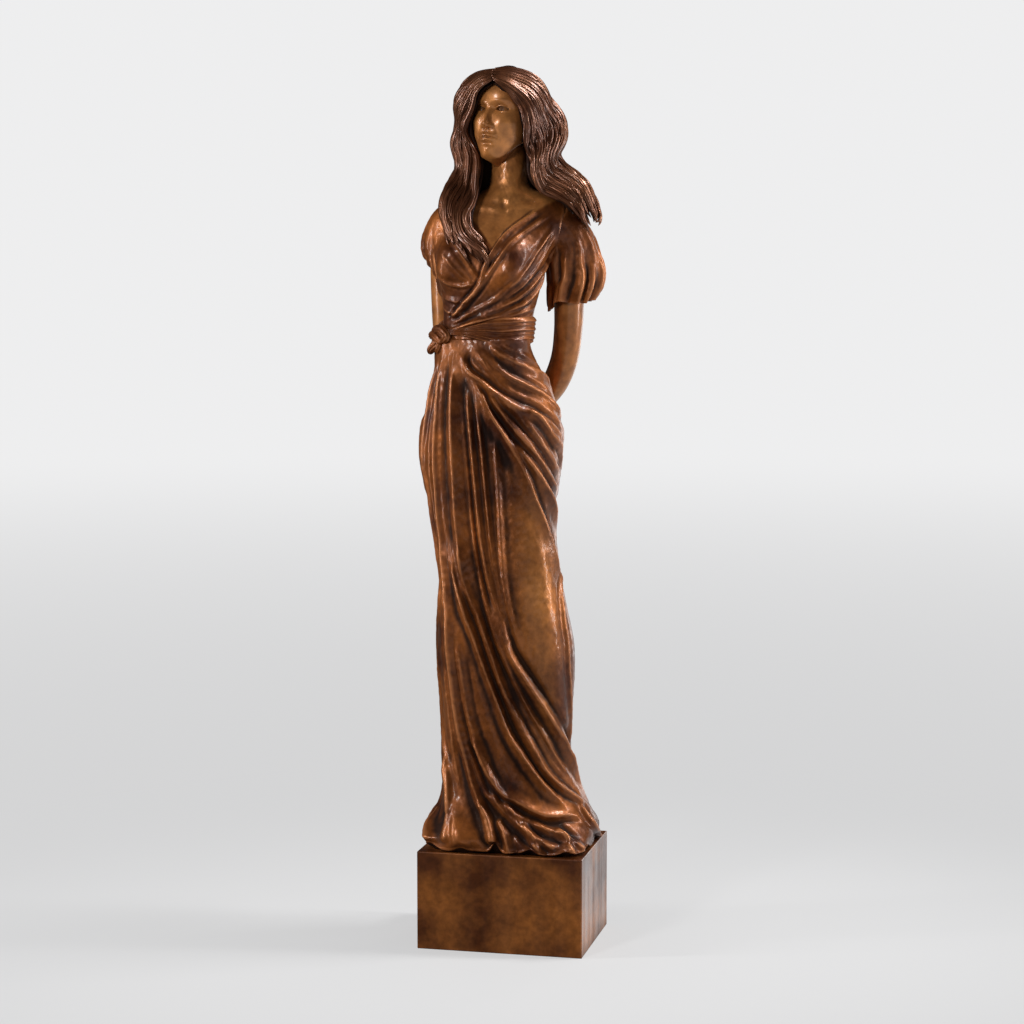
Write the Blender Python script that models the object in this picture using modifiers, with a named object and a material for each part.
# A bronze statue of a standing woman on a bronze block. Metres, +Z up, origin under the middle of the block.
# The figure is one casting: dress, sash, sleeves, arms, hands, head and hair.
# It is laid out on a sight frame, the way a carver points a figure: a square frame of 1024 steps is held up before
# it from one viewing place, and each point of the carving is read off as a step across and a row down, with its
# depth in millimetres behind the figure's axis where it lies off the dress.

from math import cos, pi, radians, sin

import bmesh
import bpy
import numpy as np
from mathutils import Matrix

# Driving dimensions
PLINTH_WIDTH = 0.39
PLINTH_DEPTH = 0.306
PLINTH_HEIGHT = 0.23
PLINTH_EDGE_ROUND = 0.0025
FIGURE_HEIGHT = 1.80
SEAT_GAP = 0.0003
HEM_MARGIN = 0.003
HEM_HOLD = 0.045

# Fineness of the solid
VOXEL = 0.0048
FIGURE_TRIANGLES = 9700

# The sight frame, laid out for a figure of the drawn height standing on the plinth's top
DRAWN_HEIGHT = 1.80
SCALE = FIGURE_HEIGHT / DRAWN_HEIGHT
VIEW_TURN = radians(13)
EYE = np.array([-0.004, -5.6, 1.324])
AIM = np.array([-0.004, 0.0, 0.778])
FRAME_STEPS = 1024
LENS = 85 / 36 * FRAME_STEPS
MM = 0.001

AHEAD = (AIM - EYE) / np.linalg.norm(AIM - EYE)
RIGHT = np.array([1.0, 0.0, 0.0])
UPWARD = np.cross(RIGHT, AHEAD)


# The points seen at (across, row) of the sight frame, at a depth in metres behind the figure's axis.
def onRay(across, row, depth):
    across, row, depth = np.broadcast_arrays(*(np.asarray(v, float) for v in (across, row, depth)))
    ray = (
        AHEAD
        + RIGHT * ((across - FRAME_STEPS / 2) / LENS)[..., None]
        + UPWARD * ((FRAME_STEPS / 2 - row) / LENS)[..., None]
    )
    return EYE + ray * ((depth - EYE[1]) / ray[..., 1])[..., None]


# Where points fall on the sight frame: across and row.
def seen(points):
    ray = points - EYE
    ahead = ray @ AHEAD
    return FRAME_STEPS / 2 + LENS * (ray @ RIGHT) / ahead, FRAME_STEPS / 2 - LENS * (ray @ UPWARD) / ahead


# Smooth cubic values at places between knots, for a table with one row for each knot.
def curveValues(knots, values, at):
    knots, values, at = np.asarray(knots, float), np.asarray(values, float), np.asarray(at, float)
    slope = np.gradient(values, knots, axis=0)
    k = np.clip(np.searchsorted(knots, at, side="right") - 1, 0, len(knots) - 2)
    gap = knots[k + 1] - knots[k]
    s = np.clip((at - knots[k]) / gap, 0, 1)
    extra = (1,) * (values.ndim - 1)
    s, gap = s.reshape(s.shape + extra), gap.reshape(gap.shape + extra)
    return (
        values[k] * (1 + 2 * s) * (1 - s) ** 2
        + slope[k] * gap * s * (1 - s) ** 2
        + values[k + 1] * s * s * (3 - 2 * s)
        - slope[k + 1] * gap * s * s * (1 - s)
    )


# A smooth curve through the points, at evenly spaced places.
def smoothPath(points, count):
    points = np.asarray(points, float)
    knots = np.concatenate([[0], np.cumsum(np.linalg.norm(np.diff(points, axis=0), axis=1))])
    fine = curveValues(knots, points, np.linspace(0, knots[-1], 12 * len(points)))
    along = np.concatenate([[0], np.cumsum(np.linalg.norm(np.diff(fine, axis=0), axis=1))])
    at = np.linspace(0, along[-1], count)
    return np.stack([np.interp(at, along, fine[:, k]) for k in range(fine.shape[1])], axis=1)


def smoothStep(x):
    x = np.clip(x, 0, 1)
    return x * x * (3 - 2 * x)


# Outward normals of a grid of points that runs round (closed) by its first index and up by its second.
def gridNormals(grid):
    around = np.roll(grid, -1, axis=0) - np.roll(grid, 1, axis=0)
    up = np.gradient(grid, axis=1)
    normal = np.cross(around, up)
    return normal / np.maximum(np.linalg.norm(normal, axis=-1, keepdims=True), 1e-12)


# Body in the dress, from the hem up to the neck: row, left, right (steps), middle depth, front, back (mm), squareness
BODY_STATIONS = (
    (840, 417, 606, 0, 155, 150, 2.6),
    (833, 419, 605, 0, 153, 148, 2.6),
    (826, 422, 603, 0, 149, 145, 2.5),
    (818, 429, 599, 0, 143, 140, 2.4),
    (808, 436, 593, 0, 134, 133, 2.3),
    (796, 440, 587, 0, 126, 127, 2.3),
    (780, 442, 579, 0, 119, 121, 2.3),
    (760, 442, 574, 0, 114, 117, 2.3),
    (730, 442, 572, 0, 111, 115, 2.3),
    (700, 440, 574, 0, 112, 115, 2.3),
    (670, 437, 576, 0, 114, 116, 2.3),
    (640, 436, 575, -2, 116, 116, 2.3),
    (610, 437, 569, -4, 115, 114, 2.3),
    (580, 439, 563, -5, 112, 113, 2.3),
    (550, 436, 559, -5, 109, 114, 2.3),
    (520, 431, 556, -4, 107, 118, 2.3),
    (490, 427, 556, -2, 106, 123, 2.3),
    (460, 422, 559, 0, 106, 126, 2.3),
    (430, 423, 561, 0, 105, 120, 2.3),
    (405, 427, 558, 0, 102, 110, 2.3),
    (380, 431, 548, 0, 96, 98, 2.3),
    (360, 435, 537, 0, 90, 88, 2.3),
    (345, 440, 531, 0, 86, 82, 2.3),
    (330, 442, 532, 0, 84, 80, 2.3),
    (315, 443, 534, 0, 86, 82, 2.3),
    (300, 442, 538, 0, 92, 86, 2.3),
    (285, 440, 542, 0, 97, 90, 2.3),
    (270, 438, 546, 2, 98, 92, 2.3),
    (255, 437, 550, 4, 94, 92, 2.3),
    (242, 437, 557, 6, 87, 90, 2.3),
    (230, 437, 568, 8, 79, 86, 2.3),
    (220, 438, 575, 9, 71, 80, 2.3),
    (212, 442, 575, 10, 65, 74, 2.3),
    (205, 450, 568, 11, 60, 68, 2.3),
    (199, 463, 554, 12, 57, 64, 2.2),
    (193, 478, 541, 13, 53, 59, 2.1),
    (186, 487, 531, 14, 50, 55, 2.0),
    (176, 490, 528, 15, 48, 54, 2.0),
    (160, 491, 528, 16, 46, 52, 2.0),
    (145, 492, 528, 16, 44, 50, 2.0),
)
# The hem runs out to the plinth's rectangle, is lifted in scallops and turns in under itself to its seat
HEM_SQUARES_BELOW = 0.085
HEM_LIFT = 5
HEM_ZONE = 34
HEM_INSET = 18
HEM_ROWS = 7
# Lifted places of the hem: angle round the body, spread in degrees, height in mm
HEM_TENTS = ((-17, 4, 24), (12, 5, 9), (34, 5, 9), (-44, 5, 10), (-64, 6, 12), (60, 6, 10), (88, 6, 9), (116, 7, 10),
             (150, 8, 9), (180, 8, 8), (-150, 8, 9), (-118, 7, 10), (-90, 6, 9))


# The plain body: sections round it at each height, running into the plinth's rectangle at the hem.
def bodyGrid(aroundCount, upCount):
    table = np.array(BODY_STATIONS, float)
    row, left, right, middle, front, back, square = table.T
    leftAt, rightAt = onRay(left, row, middle * MM), onRay(right, row, middle * MM)
    height = (leftAt[:, 2] + rightAt[:, 2]) / 2
    height[0] = 0
    columns = np.stack(
        [(leftAt[:, 0] + rightAt[:, 0]) / 2, middle * MM, (rightAt[:, 0] - leftAt[:, 0]) / 2,
         front * MM, back * MM, square], axis=1
    )
    levels = np.linspace(0, 1, upCount)
    z = height[-1] * levels
    c = curveValues(height, columns, z)
    angle = np.linspace(-pi, pi, aroundCount, endpoint=False)[:, None]
    centreX, centreY, half, frontD, backD, n = (c[:, k][None, :] for k in range(6))
    deep = np.where(np.cos(angle) > 0, frontD, backD)
    reach = ((abs(np.cos(angle)) / deep) ** n + (abs(np.sin(angle)) / half) ** n) ** (-1 / n)
    x, y = np.sin(angle) + 0 * z, -np.cos(angle) + 0 * z
    turnedX = cos(VIEW_TURN) * x - sin(VIEW_TURN) * y
    turnedY = sin(VIEW_TURN) * x + cos(VIEW_TURN) * y
    halfW = (PLINTH_WIDTH / 2 - HEM_MARGIN) / SCALE
    halfD = (PLINTH_DEPTH / 2 - HEM_MARGIN) / SCALE
    square = ((abs(turnedX) / halfW) ** 7 + (abs(turnedY) / halfD) ** 7) ** (-1 / 7)
    share = smoothStep(1 - z / HEM_SQUARES_BELOW)[None, :] ** 1.5
    grid = np.stack([centreX * (1 - share) + reach * x * (1 - share) + square * x * share,
                     centreY * (1 - share) + reach * y * (1 - share) + square * y * share,
                     np.broadcast_to(z, x.shape)], axis=-1)
    return grid


# Carving points on a surface: (across, row) is seen from the front, and (angle, row, 'round') is at an
# angle round the body, 90 at the right-hand side of the sight frame and 180 at the back.
def placeOn(grid, normals, points):
    across, row = seen(grid)
    facing = np.einsum("ijk,ijk->ij", normals, EYE - grid) > 0
    placed = []
    for point in points:
        if len(point) == 3:
            angle = np.linspace(-180, 180, grid.shape[0], endpoint=False)
            i = np.argmin(abs((angle - point[0] + 180) % 360 - 180))
            j = np.argmin(abs(row[i] - point[1]))
            placed.append(grid[i, j])
            continue
        gap = (across - point[0]) ** 2 + (row - point[1]) ** 2 + np.where(facing, 0, 1e6)
        near = np.argpartition(gap, 4, axis=None)[:4]
        weight = 1 / (gap.ravel()[near] + 0.3)
        placed.append((grid.reshape(-1, 3)[near] * weight[:, None]).sum(0) / weight.sum())
    return np.array(placed)


# Heights that folds raise on a surface, in metres. A fold is (start width, end width, height in mm, lean,
# points). Its crest is narrow with hollow flanks, and a lean above 0 makes the flank on the right of a fold
# drawn downwards the gentle one. A negative height cuts a groove. Rounded forms are plain swellings.
def foldHeights(grid, normals, folds, rounded=False):
    total = np.zeros(grid.shape[:2])
    for startW, endW, rise, lean, points in folds:
        path = smoothPath(placeOn(grid, normals, points), 26)
        widest = max(startW, endW) * MM * (1 + abs(lean))
        near = ((grid > path.min(0) - 3.2 * widest) & (grid < path.max(0) + 3.2 * widest)).all(axis=-1)
        if not near.any():
            continue
        p, n = grid[near], normals[near]
        a, b = path[:-1], path[1:]
        ab = b - a
        t = np.clip(np.einsum("msk,sk->ms", p[:, None] - a, ab) / (ab**2).sum(1), 0, 1)
        off = p[:, None] - (a + t[..., None] * ab)
        square = (off**2).sum(-1)
        k = square.argmin(1)
        pick = np.arange(len(p))
        along = (k + t[pick, k]) / len(a)
        side = np.sign(np.einsum("mk,mk->m", np.cross(n, ab[k]), off[pick, k]))
        width = (startW + (endW - startW) * along) * MM
        u = np.sqrt(square[pick, k]) / (width * (1 + lean * side))
        if rounded:
            shape = np.exp(-u * u)
        else:
            hollow = 0.3 * np.exp(-(((u - 1.6) / 0.7) ** 2)) * (1 - lean * side)
            shape = np.exp(-1.8 * (np.sqrt(u * u + 0.09) - 0.3)) - hollow
        if rounded:
            ends = 1
        else:
            reachesHem = path[-1, 2] < HEM_HOLD
            ends = smoothStep(along / 0.18) * (1 if reachesHem else smoothStep((1 - along) / 0.22))
        total[near] += rise * MM * shape * ends
    return total


# Swellings of the body under the cloth
BODY_FORMS = (
    (46, 40, 26, 0, ((512, 256), (511, 264), (510, 271))),
    (40, 34, 26, 0, ((450, 256), (449, 264), (448, 271))),
    (52, 46, 16, 0, ((530, 440), (534, 520), (542, 600), (550, 660), (558, 720))),
    (34, 30, 12, 0, ((452, 560), (449, 640), (452, 690), (458, 740))),
    (60, 60, 8, 0, ((487, 365), (487, 385), (487, 405))),
    (70, 70, 26, 0, ((150, 400, "round"), (152, 430, "round"), (155, 460, "round"))),
    (70, 70, 26, 0, ((-150, 400, "round"), (-152, 430, "round"), (-155, 460, "round"))),
    (30, 26, 20, 0, ((108, 430, "round"), (107, 468, "round"), (108, 492, "round"))),
    (30, 26, 14, 0, ((-106, 425, "round"), (-104, 455, "round"), (-108, 485, "round"))),
    (20, 30, 20, 0, ((447, 770), (451, 796), (456, 820), (459, 842))),
    (9, 8, 4, 0, ((509, 209), (520, 206), (536, 206), (550, 204))),
    (9, 8, 4, 0, ((497, 209), (488, 207), (476, 208), (464, 208))),
)

# Main folds of the dress
DRESS_FOLDS = (
    # Lapels of the bodice and the folds that run to the knot
    (8, 8, 10, 0.3, ((548, 203), (526, 218), (508, 231), (496, 246), (486, 262), (478, 284), (460, 306), (440, 330))),
    (9, 8, 7, 0.0, ((556, 209), (535, 224), (515, 238), (503, 252), (492, 268), (480, 288), (462, 309), (441, 331))),
    (9, 8, 7, 0.0, ((557, 222), (546, 240), (534, 258), (514, 284), (490, 303), (462, 318), (442, 331))),
    (9, 8, 8, 0.2, ((557, 238), (550, 256), (539, 277), (526, 291), (505, 304), (478, 317), (444, 331))),
    (9, 8, 8, 0.2, ((551, 264), (541, 284), (528, 300), (505, 311), (475, 322), (444, 332))),
    (9, 8, 6, 0.2, ((541, 304), (522, 312), (495, 318), (468, 325), (444, 331))),
    (8, 8, 6, 0.2, ((436, 274), (447, 284), (461, 287), (476, 283))),
    (8, 8, 5, 0.2, ((438, 290), (448, 300), (461, 302), (472, 297))),
    (8, 8, 6, 0.0, ((438, 214), (446, 232), (458, 250), (470, 268), (482, 287))),
    # Sash
    (9, 11, 9, 0.0, ((443, 330), (462, 328), (486, 325), (510, 322), (534, 319))),
    (9, 11, 9, 0.0, ((443, 332), (462, 333), (486, 333), (510, 332), (535, 329))),
    (9, 11, 9, 0.0, ((444, 334), (464, 339), (488, 341), (510, 341), (534, 337))),
    # Wrap over the hip: its falling edge and the folds on it
    (14, 18, 13, -0.6, ((471, 348), (464, 357), (467, 369), (482, 381), (500, 395), (520, 405), (542, 415), (560, 434),
                        (567, 452))),
    (10, 11, 9, 0.0, ((470, 345), (480, 358), (489, 371), (501, 384), (520, 396), (542, 405), (558, 420), (567, 438))),
    (11, 12, 10, -0.2, ((476, 345), (490, 359), (505, 374), (524, 384), (543, 394), (557, 407), (566, 424))),
    (11, 12, 8, -0.2, ((484, 345), (499, 355), (516, 363), (533, 369), (548, 380), (560, 396))),
    # Second fall of the wrap, across the thigh
    (13, 15, 13, -0.5, ((470, 376), (480, 393), (491, 414), (506, 434), (522, 452), (538, 470), (549, 490), (556, 516),
                        (561, 545))),
    (10, 11, 9, 0.0, ((478, 386), (492, 402), (507, 420), (523, 440), (538, 457), (550, 475), (558, 498))),
    (10, 11, 8, 0.0, ((498, 397), (516, 411), (532, 428), (545, 445), (555, 462), (561, 480))),
    (11, 15, 8, -0.4, ((486, 404), (500, 428), (514, 452), (527, 476), (538, 502), (549, 530), (558, 562), (568, 596))),
    # Long folds from the knot down the front
    (9, 11, 8, 0.0, ((437, 352), (430, 392), (424, 430), (423, 470), (428, 512), (434, 552), (438, 600), (440, 640))),
    (9, 10, 8, 0.2, ((443, 346), (438, 380), (435, 420), (434, 470), (437, 510), (441, 550), (444, 600), (446, 640))),
    (17, 24, 11, 0.2, ((454, 344), (452, 380), (451, 420), (453, 470), (456, 520), (459, 560), (463, 600), (470, 650))),
    (8, 9, 9, 0.2, ((464, 376), (467, 404), (470, 440), (474, 480), (478, 520), (483, 556), (491, 592), (501, 622),
                    (512, 652))),
    (8, 9, 8, 0.0, ((474, 392), (480, 440), (485, 490), (489, 530), (493, 565), (499, 600), (508, 640), (519, 672))),
    (11, 13, 7, 0.0, ((493, 424), (496, 460), (499, 500), (501, 545), (504, 585), (511, 625), (521, 660))),
    # Swirl towards the right-hand corner of the hem
    (10, 12, 10, -0.2, ((449, 530), (452, 570), (462, 606), (473, 636), (484, 668), (496, 700), (509, 734), (528, 764),
                        (551, 792), (578, 815))),
    (10, 10, 8, 0.0, ((468, 580), (477, 612), (488, 645), (500, 680), (516, 716), (533, 748), (553, 778), (577, 797),
                      (600, 812))),
    (13, 15, 12, -0.2, ((487, 590), (497, 620), (510, 655), (527, 681), (547, 711), (566, 742), (582, 775), (601, 803))),
    (10, 10, 7, 0.0, ((560, 560), (563, 600), (568, 640), (571, 690), (571, 740), (575, 772))),
    (11, 12, 9, 0.0, ((446, 600), (446, 630), (448, 660), (452, 690), (457, 724), (465, 756), (473, 786), (482, 812),
                      (490, 840))),
    (9, 10, 7, 0.0, ((438, 640), (439, 690), (441, 730), (444, 760), (446, 790), (446, 815), (443, 838))),
    (9, 10, 8, 0.0, ((458, 640), (463, 680), (469, 714), (478, 744), (488, 772), (502, 798), (520, 824), (534, 848))),
    (12, 14, 10, 0.5, ((466, 732), (477, 752), (488, 775), (501, 793), (522, 806), (548, 817), (570, 816), (590, 820))),
    (9, 11, 9, 0.0, ((486, 790), (498, 806), (514, 822), (534, 836), (552, 848))),
    (9, 11, 8, 0.0, ((500, 800), (520, 817), (545, 829), (566, 836), (584, 850))),
    (14, 20, 12, 0.0, ((438, 800), (430, 818), (426, 838))),
    (10, 12, 10, 0.0, ((478, 800), (488, 820), (494, 846))),
    (9, 11, 9, 0.0, ((496, 818), (504, 834), (508, 852))),
    (10, 12, 10, 0.0, ((522, 822), (532, 836), (538, 852))),
    (10, 12, 10, 0.0, ((556, 826), (566, 838), (572, 854))),
    (10, 12, 10, 0.0, ((580, 800), (592, 820), (600, 838))),
)
# Long folds down the back of the dress, each at its angle round the body and drifting to the side
BACK_FOLDS = tuple(
    (16, 24, 10 - 3 * (k % 2), 0.25 * (-1) ** k, tuple((angle + drift * (row - 350) / 480, row, "round")
                                                      for row in (350, 430, 520, 620, 720, 828)))
    for k, (angle, drift) in enumerate(((112, 10), (126, -4), (140, 8), (155, -6), (168, 6), (181, -5), (194, 8),
                                        (207, -6), (221, 6), (236, -8), (250, 4)))
)
# The sash: a band between two rows, drawn in to the knot
SASH_TOP = 316
SASH_BOTTOM = 344
SASH_OUT = 6
KNOT_ANGLE = -52
KNOT_ROW = 332


def bell(x, centre, spread):
    return np.exp(-(((x - centre) / spread) ** 2))


# The hem: the lowest cloth is lifted in scallops and turned in under itself to the seat.
def hemEdge(grid):
    angle = np.linspace(-pi, pi, grid.shape[0], endpoint=False)
    lift = HEM_LIFT * MM * (1 + 0.35 * np.sin(angle * 9 + 0.5))
    for centre, spread, rise in HEM_TENTS:
        lift = lift + rise * MM * bell((np.degrees(angle) - centre + 180) % 360 - 180, 0, spread)
    z = np.maximum(grid[..., 2], 0)
    grid = grid.copy()
    grid[..., 2] = z + lift[:, None] * np.clip(1 - z / (HEM_ZONE * MM), 0, 1)
    edge = grid[:, 0]
    away = edge[:, :2] / np.linalg.norm(edge[:, :2], axis=-1, keepdims=True)
    rows = []
    for k in range(HEM_ROWS):
        share = k / HEM_ROWS
        row = edge.copy()
        row[:, :2] -= away * (HEM_INSET * MM * (1 - share) ** 1.2)
        row[:, 2] = edge[:, 2] * share
        rows.append(row)
    return np.concatenate([np.stack(rows, axis=1), grid], axis=1)


# How far the sash stands out of the dress: a band with soft edges that narrows towards the knot.
def sashBand(grid):
    angle = np.linspace(-180, 180, grid.shape[0], endpoint=False)[:, None]
    wide = 0.22 + 0.78 * smoothStep(abs((angle - KNOT_ANGLE + 180) % 360 - 180) / 75)
    low, high, gather = (onRay(FRAME_STEPS / 2, row, 0)[2] for row in (SASH_BOTTOM, SASH_TOP, KNOT_ROW))
    z = grid[..., 2]
    inside = np.minimum(z - gather - (low - gather) * wide, gather + (high - gather) * wide - z)
    return SASH_OUT * MM * smoothStep(inside / (4 * MM) + 0.5)


def dressSurface(aroundCount, upCount):
    grid = bodyGrid(aroundCount, upCount)
    normals = gridNormals(grid)
    grid = grid + normals * foldHeights(grid, normals, BODY_FORMS, rounded=True)[..., None]
    normals = gridNormals(grid)
    height = foldHeights(grid, normals, DRESS_FOLDS + BACK_FOLDS) + sashBand(grid)
    return hemEdge(grid + normals * height[..., None])


# A closed limb along a path: rings of the given radii, squeezed by flat at right angles to across. Ripple gives
# the share by which a ring's radius grows at each angle.
def tube(path, radii, sides=14, flat=1.0, across=None, ripple=0):
    path, radii = np.asarray(path, float), np.asarray(radii, float)
    tangent = np.gradient(path, axis=0)
    tangent /= np.linalg.norm(tangent, axis=1, keepdims=True)
    guide = np.broadcast_to(np.array([0.0, 1.0, 0.0]) if across is None else across, path.shape)
    side = np.cross(tangent, guide)
    side /= np.maximum(np.linalg.norm(side, axis=1, keepdims=True), 1e-9)
    out = np.cross(side, tangent)
    turn = np.linspace(0, 2 * pi, sides, endpoint=False)[:, None, None]
    reach = (radii[None, :] * (1 + ripple))[..., None]
    return path[None] + np.cos(turn) * side * reach + np.sin(turn) * out * reach * flat


# A mesh from a grid that is closed round its first index, with both ends closed by a centre point.
def closedMesh(name, grid):
    around, up = grid.shape[:2]
    first, last = grid[:, 0].mean(0), grid[:, -1].mean(0)
    points = np.concatenate([grid.transpose(1, 0, 2).reshape(-1, 3), [first, last]])
    i, j = np.meshgrid(np.arange(around), np.arange(up - 1), indexing="ij")
    nextI = (i + 1) % around
    quads = np.stack([j * around + i, j * around + nextI, (j + 1) * around + nextI, (j + 1) * around + i], axis=-1)
    ring = np.arange(around)
    after = (ring + 1) % around
    top = (up - 1) * around
    lowFan = np.stack([after, ring, np.full(around, around * up)], axis=-1)
    highFan = np.stack([top + ring, top + after, np.full(around, around * up + 1)], axis=-1)
    mesh = bpy.data.meshes.new(name)
    faces = quads.reshape(-1, 4).tolist() + lowFan.tolist() + highFan.tolist()
    mesh.from_pydata(points.tolist(), [], faces)
    mesh.validate()
    return mesh


# Head, in millimetres above the chin: height, half width, front, back, squareness of the front
HEAD_SECTIONS = (
    (-20, 38, 40, 42, 2.0),
    (-12, 40, 56, 43, 2.0),
    (-6, 42, 69, 43, 2.0),
    (0, 44, 77, 44, 1.95),
    (8, 47, 81, 46, 1.9),
    (16, 50.5, 83, 50, 1.95),
    (25, 54, 83, 54, 2.0),
    (35, 58, 84, 58, 2.05),
    (46, 62.5, 85, 62, 2.15),
    (58, 65, 85, 68, 2.2),
    (75, 68, 85, 76, 2.25),
    (95, 69, 84, 86, 2.3),
    (110, 70, 84, 91, 2.3),
    (125, 71, 88, 95, 2.3),
    (142, 72, 90, 95, 2.25),
    (160, 70, 87, 91, 2.2),
    (180, 62, 79, 77, 2.2),
    (197, 48, 61, 58, 2.1),
    (210, 30, 38, 36, 2.0),
    (219, 8, 10, 10, 2.0),
)
# The jaw's edge: it reaches round to this many degrees at each height
JAW_EDGE = ((-20, 0), (-12, 16), (-4, 34), (6, 50), (16, 62), (28, 76), (42, 98), (58, 140), (72, 220))
JAW_SOFTNESS = 34
NECK_REACH = 37
HAIR_CAP = 5.0
HEAD_SIZE = 0.965
HEAD_TURN = radians(-30)
HEAD_LIFT = radians(6)
HEAD_ROLL = radians(2)
HEAD_PLACE = (505, 160, 6)
NOSE_RIDGE = ((132, 0, 12), (122, 1.2, 9), (112, 2.4, 7.5), (100, 6, 7), (88, 10.5, 7.2), (77, 15, 8),
              (70.5, 17, 8.4), (65, 13, 8.6), (61, 4.5, 8.4), (56, 0, 8))
EYE_ACROSS = 30
EYE_HEIGHT = 108
EYE_CENTRE = 63.4
EYE_RADIUS = 12.8
LID_RADIUS = 14.2
EYE_HALF_LENGTH = 15.8
MOUTH_HALF = 22.5
MOUTH_HEIGHT = 41


# How far the face's forms stand out in front of the plain head, in millimetres, at x across and z above the chin
def faceForms(x, z):
    a = abs(x)
    ridge = np.array(NOSE_RIDGE, float)[::-1]
    noseRise = np.interp(z, ridge[:, 0], ridge[:, 1])
    noseWide = np.interp(z, ridge[:, 0], ridge[:, 2])
    rise = noseRise * np.exp(-((a / noseWide) ** 2.2))
    rise = rise + 5.5 * bell(a, 11.5, 4.8) * bell(z, 67.5, 5.2) - 3.2 * bell(a, 6.5, 3.2) * bell(z, 61, 2.8)
    rise = rise + 4.0 * bell(a, 38, 20) * bell(z, 80, 20) - 5.2 * bell(a, 29, 17) * bell(z, 109, 11)
    rise = rise - 3.6 * bell(a, 14, 6) * bell(z, 109, 8) + 1.4 * bell(a, 27, 20) * bell(z, 126, 6)
    lip = np.clip(1 - (a / MOUTH_HALF) ** 2, 0, 1)
    line = MOUTH_HEIGHT + 0.9 * bell(a, 0, 5) - 0.6 * bell(a, 9, 6) + 0.9 * (a / MOUTH_HALF) ** 3
    rise = rise + 6.0 * bell(z, line + 4.8, 4.1) * lip**0.7 + 7.4 * bell(z, line - 5.6, 4.9) * lip**0.8
    rise = rise - 4.6 * bell(z, line, 1.5) * lip**0.4 - 2.0 * bell(a, 24, 4) * bell(z, 41, 5)
    return rise - 2.4 * bell(a, 0, 15) * bell(z, 26, 4) + 3 * bell(a, 0, 12) * bell(z, 11, 10)


# The head as a grid: sections at each height, with the face's forms pushed forward. Shell is the thickness of a cap
# of hair over it in millimetres, drawn in where the face is open. A bare head draws in to the neck below the jaw.
def headGrid(aroundCount, upCount, shell=0.0):
    table = np.array(HEAD_SECTIONS, float)
    v = np.linspace(0, 1, upCount)
    z = np.interp(v, (0, 0.12, 0.66, 1), (-20, 5, 135, 219))
    c = curveValues(table[:, 0], table[:, 1:], z)
    u = np.linspace(-1, 1, aroundCount, endpoint=False)[:, None]
    angle = pi * (0.45 * u + 0.55 * u**3)
    half, front, back, square = (c[:, k][None, :] for k in range(4))
    if shell:
        half, front, back = half + shell, front + shell, back + shell
        z = -20 + (z + 20) * (1 + shell / 239)
    deep = np.where(np.cos(angle) > 0, front, back)
    n = np.where(np.cos(angle) > 0, square, 2.2)
    reach = ((abs(np.cos(angle)) / deep) ** n + (abs(np.sin(angle)) / half) ** n) ** (-1 / n)
    if shell:
        opening = np.interp(z, (-20, 40, 120, 150, 172, 188), (78, 68, 64, 58, 40, 0))[None, :]
        inside = smoothStep((opening - np.degrees(abs(angle))) / 9 + 0.5)
        reach = reach * (1 - 0.3 * inside)
    else:
        edge = np.interp(z, *zip(*JAW_EDGE))[None, :]
        jaw = smoothStep((edge - np.degrees(abs(angle))) / JAW_SOFTNESS + 0.5)
        reach = NECK_REACH + (reach - NECK_REACH) * jaw
    x, forward = reach * np.sin(angle), reach * np.cos(angle)
    height = np.broadcast_to(z[None, :], x.shape)
    if not shell:
        front = smoothStep(np.cos(angle) / 0.35)
        surface = forward + faceForms(x, height) * front
        dx, dz = abs(x) - EYE_ACROSS, height - EYE_HEIGHT
        reachSquare = dx * dx + dz * dz
        lid = EYE_CENTRE + np.sqrt(np.clip(LID_RADIUS**2 - reachSquare, 0, None))
        ball = EYE_CENTRE + np.sqrt(np.clip(EYE_RADIUS**2 - reachSquare, 0, None))
        near = (reachSquare < LID_RADIUS**2) & (forward > 20)
        blend = np.maximum(surface, lid) + 0.6 * np.exp(-abs(surface - lid) / 1.6)
        surface = np.where(near, blend, surface)
        along = np.clip(1 - (dx / EYE_HALF_LENGTH) ** 2, 0, 1)
        upper, lower = 6.4 * along**0.75, -4.4 * along**0.9
        opened = smoothStep((upper - dz) / 0.9 + 0.5) * smoothStep((dz - lower) / 0.9 + 0.5) * (along > 0)
        surface = np.where(forward > 20, surface * (1 - opened) + ball * opened, surface)
        crease = bell(dz, 9.2 * along**0.7 + 0.8, 1.2) * along**0.5
        surface = surface - np.where(forward > 20, 1.5 * crease, 0)
        forward = surface
    return np.stack([x, -forward, height], axis=-1)


# From the head's own millimetres to the sight frame's metres
def headToFigure(points):
    points = points * MM * HEAD_SIZE
    pivot = np.array([0, 0, 0.06])
    points = points - pivot
    x, y, z = points[..., 0], points[..., 1], points[..., 2]
    y, z = y * cos(HEAD_LIFT) + z * sin(HEAD_LIFT), -y * sin(HEAD_LIFT) + z * cos(HEAD_LIFT)
    x, z = x * cos(HEAD_ROLL) + z * sin(HEAD_ROLL), -x * sin(HEAD_ROLL) + z * cos(HEAD_ROLL)
    x, y = x * cos(HEAD_TURN) - y * sin(HEAD_TURN), x * sin(HEAD_TURN) + y * cos(HEAD_TURN)
    place = onRay(HEAD_PLACE[0], HEAD_PLACE[1], HEAD_PLACE[2] * MM)
    return np.stack([x, y, z], axis=-1) + pivot + place


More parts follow.
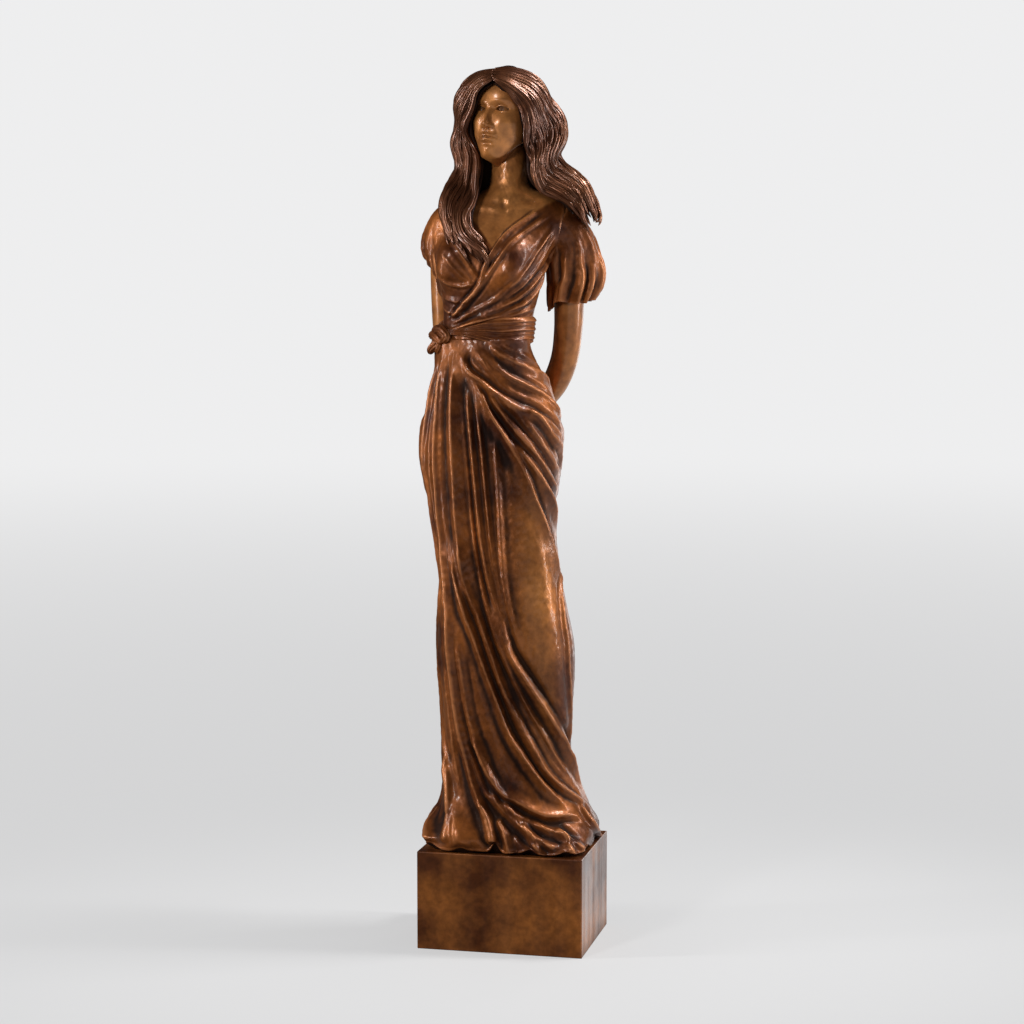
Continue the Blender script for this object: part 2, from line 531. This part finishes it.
# Hair: guide strands from the parting to the ends, each point (across, row, depth)
HAIR_RIGHT = (
    ((493, 80, -86), (501, 84, -84), (509, 91, -81), (517, 101, -74), (523, 113, -66), (527, 127, -58),
     (529, 142, -52), (533, 155, -48), (541, 164, -48), (552, 168, -50), (564, 170, -52), (575, 174, -50),
     (584, 182, -46), (590, 192, -42)),
    ((493, 77, -80), (507, 81, -76), (519, 89, -68), (531, 99, -56), (543, 110, -42), (552, 122, -30),
     (556, 138, -22), (554, 154, -22), (558, 168, -30), (569, 177, -36), (580, 184, -40), (590, 193, -38),
     (597, 205, -34), (599, 217, -32), (595, 226, -34)),
    ((496, 71, -58), (513, 75, -48), (530, 84, -32), (545, 97, -14), (556, 113, -4), (561, 130, 2),
     (561, 148, 0), (558, 166, -10), (560, 182, -20), (570, 193, -26), (581, 201, -28), (590, 212, -26),
     (597, 224, -26), (599, 234, -30), (591, 231, -36)),
    ((498, 68, -25), (516, 70, -12), (532, 78, 4), (546, 91, 16), (557, 108, 22), (562, 127, 26),
     (563, 147, 24), (560, 168, 16), (557, 184, 8), (564, 197, 2), (576, 206, -2), (586, 216, -6),
     (594, 227, -12), (599, 233, -18)),
    ((498, 70, 5), (516, 76, 28), (533, 88, 46), (546, 106, 56), (555, 130, 56), (556, 152, 48),
     (551, 172, 42), (549, 188, 36), (557, 199, 32), (569, 206, 28), (581, 214, 20), (589, 225, 10)),
)
HAIR_LEFT = (
    ((492, 80, -84), (482, 85, -76), (475, 93, -64), (470, 106, -46), (467, 122, -30), (468, 138, -22),
     (472, 152, -22), (476, 163, -28), (478, 176, -38), (476, 189, -50), (470, 202, -58), (466, 214, -68),
     (469, 226, -80), (477, 238, -92), (485, 249, -101), (487, 258, -105), (484, 270, -105)),
    ((489, 76, -78), (477, 82, -68), (468, 92, -52), (463, 106, -36), (462, 121, -22), (460, 134, -14),
     (462, 147, -14), (467, 159, -20), (468, 172, -28), (465, 187, -40), (458, 201, -50), (457, 216, -64),
     (462, 231, -80), (471, 247, -95), (479, 262, -104), (481, 276, -104)),
    ((488, 72, -60), (474, 80, -48), (464, 92, -32), (459, 106, -18), (459, 119, -8), (455, 131, -2),
     (454, 143, -2), (459, 156, -6), (461, 168, -12), (455, 179, -20), (448, 191, -32), (446, 203, -44),
     (448, 218, -58), (454, 235, -76), (464, 254, -97), (474, 272, -103)),
    ((492, 69, -28), (475, 76, -18), (463, 90, -2), (459, 106, 8), (460, 122, 14), (458, 140, 16),
     (460, 156, 10), (458, 172, 0), (450, 187, -14), (446, 202, -30), (446, 218, -48), (450, 234, -68),
     (458, 250, -91), (467, 264, -99)),
    ((494, 70, 5), (479, 77, 26), (466, 92, 42), (462, 112, 48), (462, 134, 46), (464, 154, 38),
     (460, 172, 24), (452, 188, 8), (446, 204, -14), (444, 220, -38), (447, 236, -62), (454, 250, -86)),
)
HAIR_BACK = (
    ((497, 70, 20), (478, 78, 52), (468, 98, 80), (464, 122, 92), (466, 146, 88), (468, 168, 78), (462, 190, 76),
     (456, 212, 88), (458, 234, 100), (464, 252, 102)),
    ((499, 71, 28), (492, 80, 72), (487, 100, 100), (485, 122, 108), (487, 146, 102), (489, 168, 92), (484, 190, 92),
     (481, 214, 106), (484, 238, 114), (486, 260, 112)),
    ((501, 71, 28), (507, 80, 72), (511, 100, 100), (514, 122, 108), (512, 146, 102), (510, 168, 92), (514, 190, 92),
     (517, 214, 106), (513, 238, 114), (511, 260, 112)),
    ((502, 70, 20), (521, 78, 55), (535, 98, 80), (541, 122, 90), (539, 146, 84), (536, 168, 72), (544, 190, 72),
     (549, 212, 84), (544, 234, 98), (538, 252, 102)),
)
# Locks of each side: thick ones sunk under the surface, and the top ones with their widths and the cuts of their ends
LOCK_STEPS = 48
UNDER_LOCKS = 6
UNDER_WIDTH = 18
UNDER_SINK = 13
TOP_LOCKS = 10
LOCK_WIDTHS = (12, 8, 13, 9)
LOCK_CUTS = (0, 5, 1, 7, 3)
HEAD_AXIS = (502, 120, 10 * MM)
HAIR_MASS = (
    (92, 476, 530, 62, 34),
    (120, 468, 543, 58, 42),
    (150, 470, 545, 52, 38),
    (175, 466, 545, 50, 34),
    (195, 462, 548, 54, 32),
    (215, 460, 548, 64, 34),
    (240, 466, 540, 72, 32),
    (256, 476, 526, 76, 24),
)


# A strand between two neighbouring guides of a set: share 0 is the first guide and 1 the last
def hairPath(guides, share, count):
    place = share * (len(guides) - 1)
    k = int(min(place, len(guides) - 2))
    part = place - k
    both = []
    for guide in (guides[k], guides[k + 1]):
        g = np.array(guide, float)
        both.append(smoothPath(onRay(g[:, 0], g[:, 1], g[:, 2] * MM), count))
    return both[0] * (1 - part) + both[1] * part


# Arms: shoulder to wrist as (across, row, depth, radius in mm)
ARM_RIGHT = ((560, 232, 26, 38), (568, 262, 44, 36), (569, 300, 56, 35), (568, 332, 72, 33), (564, 360, 92, 32),
             (554, 384, 116, 31), (536, 404, 146, 29), (518, 422, 168, 24), (504, 436, 176, 20))
ARM_LEFT = ((448, 232, 24, 38), (446, 262, 42, 36), (446, 300, 56, 34), (447, 332, 74, 32), (450, 362, 96, 31),
            (459, 386, 122, 30), (474, 408, 150, 28), (490, 428, 170, 23), (500, 440, 176, 20))
SLEEVE_RIGHT = ((552, 213, 12, 36), (562, 226, 20, 46), (570, 242, 30, 52), (574, 260, 40, 56), (575, 278, 46, 59),
                (572, 292, 50, 56), (570, 303, 52, 51))
SLEEVE_LEFT = ((462, 214, 10, 40), (450, 226, 16, 46), (445, 242, 26, 50), (445, 258, 36, 47), (446, 272, 42, 41),
               (446, 280, 44, 38))
# Gathers of the sleeves: angle round the arm, spread in degrees, height as a share of the radius
GATHERS_RIGHT = ((-158, 12, 0.10), (-135, 12, 0.18), (-108, 12, 0.20), (-75, 12, 0.18), (-50, 12, 0.16),
                 (-24, 14, 0.26), (12, 14, 0.24), (45, 14, 0.18), (78, 14, 0.18), (112, 14, 0.15), (150, 14, 0.12))
GATHERS_LEFT = ((-172, 14, 0.18), (-140, 14, 0.16), (-108, 14, 0.16), (-76, 14, 0.12), (-40, 14, 0.10), (0, 14, 0.10),
                (40, 14, 0.12), (75, 14, 0.15), (110, 14, 0.15), (145, 14, 0.16))
# Drop of the sleeve's hem at an angle round the arm: angle, spread in degrees, drop in mm
SLEEVE_HEM_RIGHT = ((-160, 26, -34), (-10, 34, 8))
SLEEVE_HEM_LEFT = ((180, 60, 40), (-30, 60, -26))
# Hands clasped behind: palms and fingers as paths of (across, row, depth, radius in mm)
HANDS = (
    ((508, 432, 178, 22), (500, 440, 186, 25), (492, 448, 192, 26), (486, 455, 194, 22), (483, 459, 193, 15)),
    ((496, 436, 174, 21), (503, 442, 178, 24), (511, 450, 180, 25), (517, 457, 180, 20), (520, 461, 179, 14)),
    ((484, 448, 200, 8), (480, 456, 204, 8), (480, 464, 203, 7.5), (483, 470, 198, 6)),
    ((489, 450, 203, 8), (486, 459, 208, 8), (486, 468, 206, 7.5), (489, 474, 200, 6)),
    ((495, 452, 204, 8), (493, 461, 209, 8), (493, 470, 206, 7.5), (495, 476, 200, 6)),
    ((500, 453, 203, 7.5), (499, 461, 207, 7.5), (499, 469, 204, 7), (500, 474, 199, 5.5)),
    ((506, 436, 196, 9), (511, 443, 200, 9), (512, 451, 200, 8), (509, 457, 198, 6.5)),
)
# Knot of the sash and its short ends
KNOT = (
    ((434, 333, -14, 8), (437, 330, -30, 12), (442, 331, -48, 13), (446, 337, -60, 12), (443, 342, -52, 10)),
    ((431, 337, -8, 9), (434, 335, -24, 12), (438, 338, -40, 13), (443, 343, -52, 10)),
    ((438, 339, -34, 10), (435, 345, -34, 11), (431, 350, -30, 10), (430, 354, -24, 7)),
)


# A limb from a table of (across, row, depth, radius)
def limb(table, count, sides=14, flat=1.0):
    t = np.array(table, float)
    points = np.concatenate([onRay(t[:, 0], t[:, 1], t[:, 2] * MM), t[:, 3:] * MM], axis=1)
    path = smoothPath(points, count)
    radius = path[:, 3] * np.clip(np.sin(np.linspace(0, pi, count)) * 5, 0.3, 1) ** 0.5
    return tube(path[:, :3], radius, sides, flat)


# A sleeve: rings down the arm with gathers that deepen towards a slanting hem
def sleeveGrid(table, gathers, hemDrops, count, sides):
    t = np.array(table, float)
    points = np.concatenate([onRay(t[:, 0], t[:, 1], t[:, 2] * MM), t[:, 3:] * MM], axis=1)
    path = smoothPath(points, count)
    s = np.linspace(0, 1, count)
    turn = np.linspace(0, 360, sides, endpoint=False)[:, None]
    ripple = np.zeros((sides, count))
    for centre, spread, height in gathers:
        u = ((turn - centre + 180) % 360 - 180) / spread
        ripple = ripple + height * (np.exp(-abs(u)) - 0.35 * bell(abs(u), 1.7, 0.8)) * smoothStep((s - 0.12) / 0.8)
    grid = tube(path[:, :3], path[:, 3] * np.clip(12 * s, 0.3, 1) ** 0.5, sides, ripple=ripple)
    for centre, spread, drop in hemDrops:
        grid[..., 2] += drop * MM * bell((turn - centre + 180) % 360 - 180, 0, spread) * s**2.5
    return grid


def hairMassGrid(aroundCount, upCount):
    t = np.array(HAIR_MASS, float)
    left, right = onRay(t[:, 1], t[:, 0], t[:, 3] * MM), onRay(t[:, 2], t[:, 0], t[:, 3] * MM)
    columns = np.stack([(left[:, 0] + right[:, 0]) / 2, t[:, 3] * MM, (right[:, 0] - left[:, 0]) / 2, t[:, 4] * MM,
                        left[:, 2]], axis=1)[::-1]
    c = curveValues(np.arange(len(t)), columns, np.linspace(0, len(t) - 1, upCount))
    angle = np.linspace(-pi, pi, aroundCount, endpoint=False)[:, None]
    reach = ((abs(np.cos(angle)) / c[:, 3]) ** 2.4 + (abs(np.sin(angle)) / c[:, 2]) ** 2.4) ** (-1 / 2.4)
    return np.stack([c[:, 0] + reach * np.sin(angle), c[:, 1] - reach * np.cos(angle), c[:, 4] + 0 * reach], axis=-1)


# Every form of the figure as closed grids on the sight frame
def figureForms():
    forms = [dressSurface(260, 380), headToFigure(headGrid(120, 120)), headToFigure(headGrid(90, 90, HAIR_CAP))]
    forms.append(hairMassGrid(48, 40))
    for arm in (ARM_RIGHT, ARM_LEFT):
        forms.append(limb(arm, 40, 20))
    forms.append(sleeveGrid(SLEEVE_RIGHT, GATHERS_RIGHT, SLEEVE_HEM_RIGHT, 40, 96))
    forms.append(sleeveGrid(SLEEVE_LEFT, GATHERS_LEFT, SLEEVE_HEM_LEFT, 40, 96))
    for part in HANDS + KNOT:
        forms.append(limb(part, 20, 14))
    t = np.linspace(0, 1, LOCK_STEPS)
    headAxis = onRay(*HEAD_AXIS)
    for guides in (HAIR_RIGHT, HAIR_LEFT, HAIR_BACK):
        for k in range(UNDER_LOCKS):
            path = hairPath(guides, (k + 0.5) / UNDER_LOCKS, LOCK_STEPS)
            inward = headAxis - path
            inward[:, 2] = 0
            path = path + inward / np.linalg.norm(inward, axis=1, keepdims=True) * UNDER_SINK * MM
            radius = UNDER_WIDTH * MM * np.minimum(1, 0.4 + 2.2 * t) * np.minimum(1, 0.3 + (1 - t) * 2.2)
            forms.append(tube(path, radius, 12, 0.8, -inward))
        for k in range(TOP_LOCKS):
            path = hairPath(guides, k / (TOP_LOCKS - 1), LOCK_STEPS)
            path = path[: LOCK_STEPS - LOCK_CUTS[k % len(LOCK_CUTS)]]
            along = np.linspace(0, 1, len(path))
            radius = LOCK_WIDTHS[k % len(LOCK_WIDTHS)] * MM * np.minimum(1, 0.4 + 2.2 * along)
            forms.append(tube(path, radius * np.minimum(1, 0.35 + (1 - along) * 3), 10))
    return forms


# From the sight frame to the object: turned, scaled and stood on the plinth
def standOnPlinth(grid):
    x, y, z = grid[..., 0], grid[..., 1], grid[..., 2]
    turned = np.stack([cos(VIEW_TURN) * x - sin(VIEW_TURN) * y, sin(VIEW_TURN) * x + cos(VIEW_TURN) * y, z], axis=-1)
    return turned * SCALE + np.array([0, 0, PLINTH_HEIGHT + SEAT_GAP])


def bronze(name, colour, roughness):
    material = bpy.data.materials.new(name)
    material.use_nodes = True
    shader = next(node for node in material.node_tree.nodes if node.type == "BSDF_PRINCIPLED")
    shader.inputs["Base Color"].default_value = (*colour, 1)
    shader.inputs["Metallic"].default_value = 1.0
    shader.inputs["Roughness"].default_value = roughness
    material.diffuse_color = (*colour, 1)
    return material


# Keeps the outer skin only: shells left inside by the gaps between locks of hair are taken out
def keepOuterSkin(mesh):
    work = bmesh.new()
    work.from_mesh(mesh)
    left = set(work.verts)
    skins = []
    while left:
        stack = [left.pop()]
        skin = list(stack)
        while stack:
            for edge in stack.pop().link_edges:
                for vertex in edge.verts:
                    if vertex in left:
                        left.discard(vertex)
                        stack.append(vertex)
                        skin.append(vertex)
        skins.append(skin)
    skins.sort(key=len)
    inner = [vertex for skin in skins[:-1] for vertex in skin]
    bmesh.ops.delete(work, geom=inner, context="VERTS")
    bmesh.ops.recalc_face_normals(work, faces=work.faces[:])
    work.to_mesh(mesh)
    work.free()


def applyModifiers(item):
    evaluated = item.evaluated_get(bpy.context.evaluated_depsgraph_get())
    mesh = bpy.data.meshes.new_from_object(evaluated)
    item.modifiers.clear()
    old = item.data
    item.data = mesh
    bpy.data.meshes.remove(old)


def makeFigure(collection):
    points, faces = [], []
    for grid in figureForms():
        mesh = closedMesh("form", standOnPlinth(grid))
        base = len(points)
        points += [tuple(v.co) for v in mesh.vertices]
        faces += [[base + k for k in p.vertices] for p in mesh.polygons]
        bpy.data.meshes.remove(mesh)
    mesh = bpy.data.meshes.new("figure")
    mesh.from_pydata(points, [], faces)
    figure = bpy.data.objects.new("figure", mesh)
    collection.objects.link(figure)
    remesh = figure.modifiers.new("One skin", "REMESH")
    remesh.mode = "VOXEL"
    remesh.voxel_size = VOXEL
    remesh.adaptivity = 0
    applyModifiers(figure)
    keepOuterSkin(figure.data)
    floor = PLINTH_HEIGHT + SEAT_GAP
    for vertex in figure.data.vertices:
        if vertex.co.z < floor + 0.6 * VOXEL:
            vertex.co.z = floor
    decimate = figure.modifiers.new("Facets", "DECIMATE")
    decimate.ratio = FIGURE_TRIANGLES / sum(len(p.vertices) - 2 for p in figure.data.polygons)
    applyModifiers(figure)
    keepOuterSkin(figure.data)
    figure.data.materials.append(bronze("figure_bronze", (0.24, 0.115, 0.055), 0.32))
    return figure


def makePlinth(collection):
    bpy.ops.mesh.primitive_cube_add(size=1, location=(0, 0, PLINTH_HEIGHT / 2))
    plinth = bpy.context.active_object
    plinth.name = "plinth"
    plinth.data.name = "plinth"
    for owner in list(plinth.users_collection):
        owner.objects.unlink(plinth)
    collection.objects.link(plinth)
    plinth.data.transform(Matrix.Diagonal((PLINTH_WIDTH, PLINTH_DEPTH, PLINTH_HEIGHT, 1)))
    edges = plinth.modifiers.new("Worn edges", "BEVEL")
    edges.width = PLINTH_EDGE_ROUND
    edges.segments = 3
    edges.limit_method = "ANGLE"
    plinth.data.materials.append(bronze("plinth_bronze", (0.27, 0.13, 0.06), 0.42))
    return plinth


def main():
    for item in list(bpy.data.objects):
        bpy.data.objects.remove(item, do_unlink=True)
    collection = bpy.data.collections.new("bronze_statue")
    bpy.context.scene.collection.children.link(collection)
    makePlinth(collection)
    makeFigure(collection)


main()
